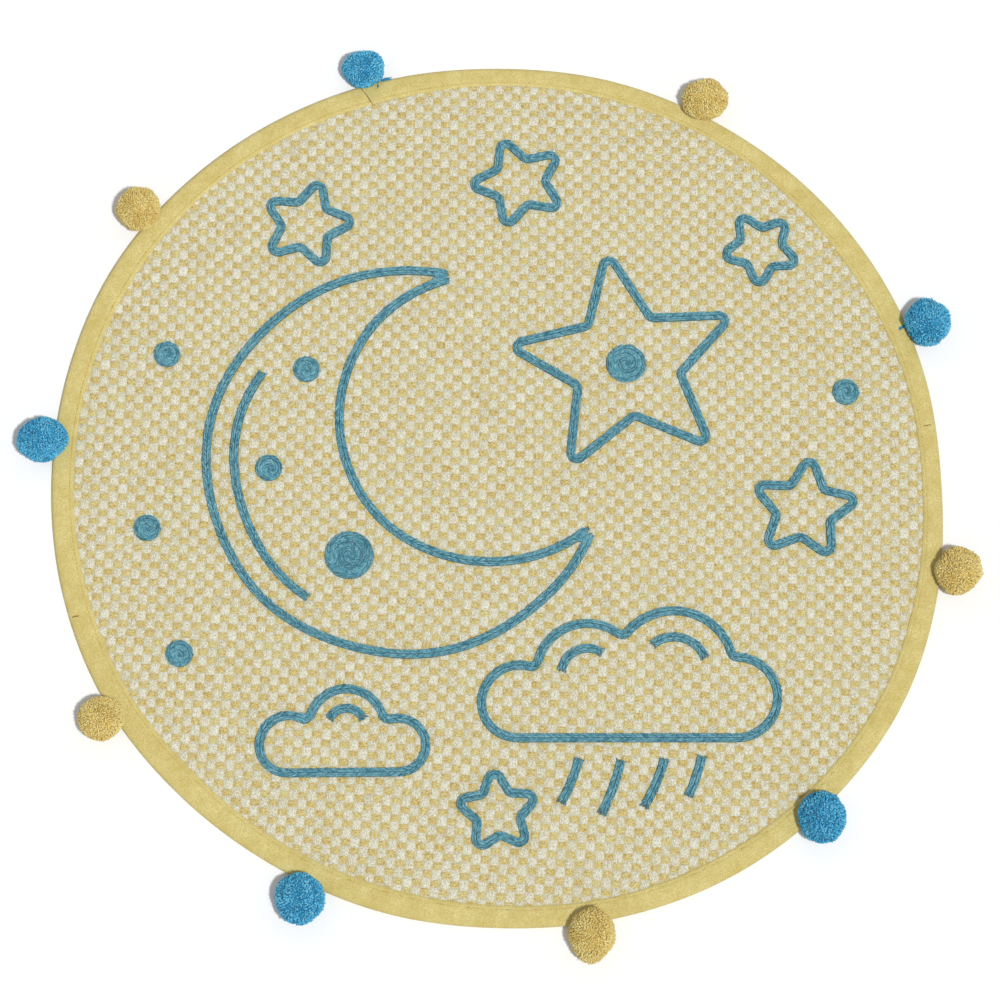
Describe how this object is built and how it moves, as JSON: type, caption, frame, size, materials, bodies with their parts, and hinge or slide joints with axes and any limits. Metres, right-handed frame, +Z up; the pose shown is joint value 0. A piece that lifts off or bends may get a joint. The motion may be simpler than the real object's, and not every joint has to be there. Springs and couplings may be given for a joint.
{
  "type": "round kids rug",
  "caption": "Round woven cotton rug for a child's room, with a bound edge, a night sky of moon, stars and clouds laid in braid, and yarn pompoms round the rim.",
  "frame": {"origin": "middle of the round field's underside, on the floor", "axes": "+Z up out of the rug's face, +Y towards the top of the design, +X to the right of the design"},
  "size_m": [0.9594, 0.9405, 0.045],
  "materials": {
    "field_cotton": "thick basket weave of cream warp and mustard weft, checks of about 9 mm",
    "binding_cotton": "plain woven cotton tape, stitched",
    "braid_cotton": "soft chained cotton braid, matt",
    "pompom_blue": "clipped cotton yarn pile",
    "pompom_yellow": "clipped cotton yarn pile"
  },
  "bodies": {
    "root": {"braid_bow_cloud_left": "braid_cotton", "braid_bow_cloud_right": "braid_cotton", "braid_bow_cloud_small": "braid_cotton", "braid_bow_moon": "braid_cotton", "braid_cloud_large": "braid_cotton", "braid_cloud_small": "braid_cotton", "braid_coil_left": "braid_cotton", "braid_coil_left_high": "braid_cotton", "braid_coil_left_low": "braid_cotton", "braid_coil_moon_high": "braid_cotton", "braid_coil_moon_left": "braid_cotton", "braid_coil_moon_low": "braid_cotton", "braid_coil_right_high": "braid_cotton", "braid_coil_star": "braid_cotton", "braid_moon": "braid_cotton", "braid_rain_1": "braid_cotton", "braid_rain_2": "braid_cotton", "braid_rain_3": "braid_cotton", "braid_rain_4": "braid_cotton", "braid_star_bottom": "braid_cotton", "braid_star_large": "braid_cotton", "braid_star_right": "braid_cotton", "braid_star_top": "braid_cotton", "braid_star_upper_left": "braid_cotton", "braid_star_upper_right": "braid_cotton", "edge_binding": "binding_cotton", "field_panel": "field_cotton", "pompom_blue_bottom_left": "pompom_blue", "pompom_blue_left": "pompom_blue", "pompom_blue_low_right": "pompom_blue", "pompom_blue_right": "pompom_blue", "pompom_blue_top": "pompom_blue", "pompom_yellow_bottom": "pompom_yellow", "pompom_yellow_left_low": "pompom_yellow", "pompom_yellow_left_top": "pompom_yellow", "pompom_yellow_right": "pompom_yellow", "pompom_yellow_top_right": "pompom_yellow"}
  },
  "joints": []
}
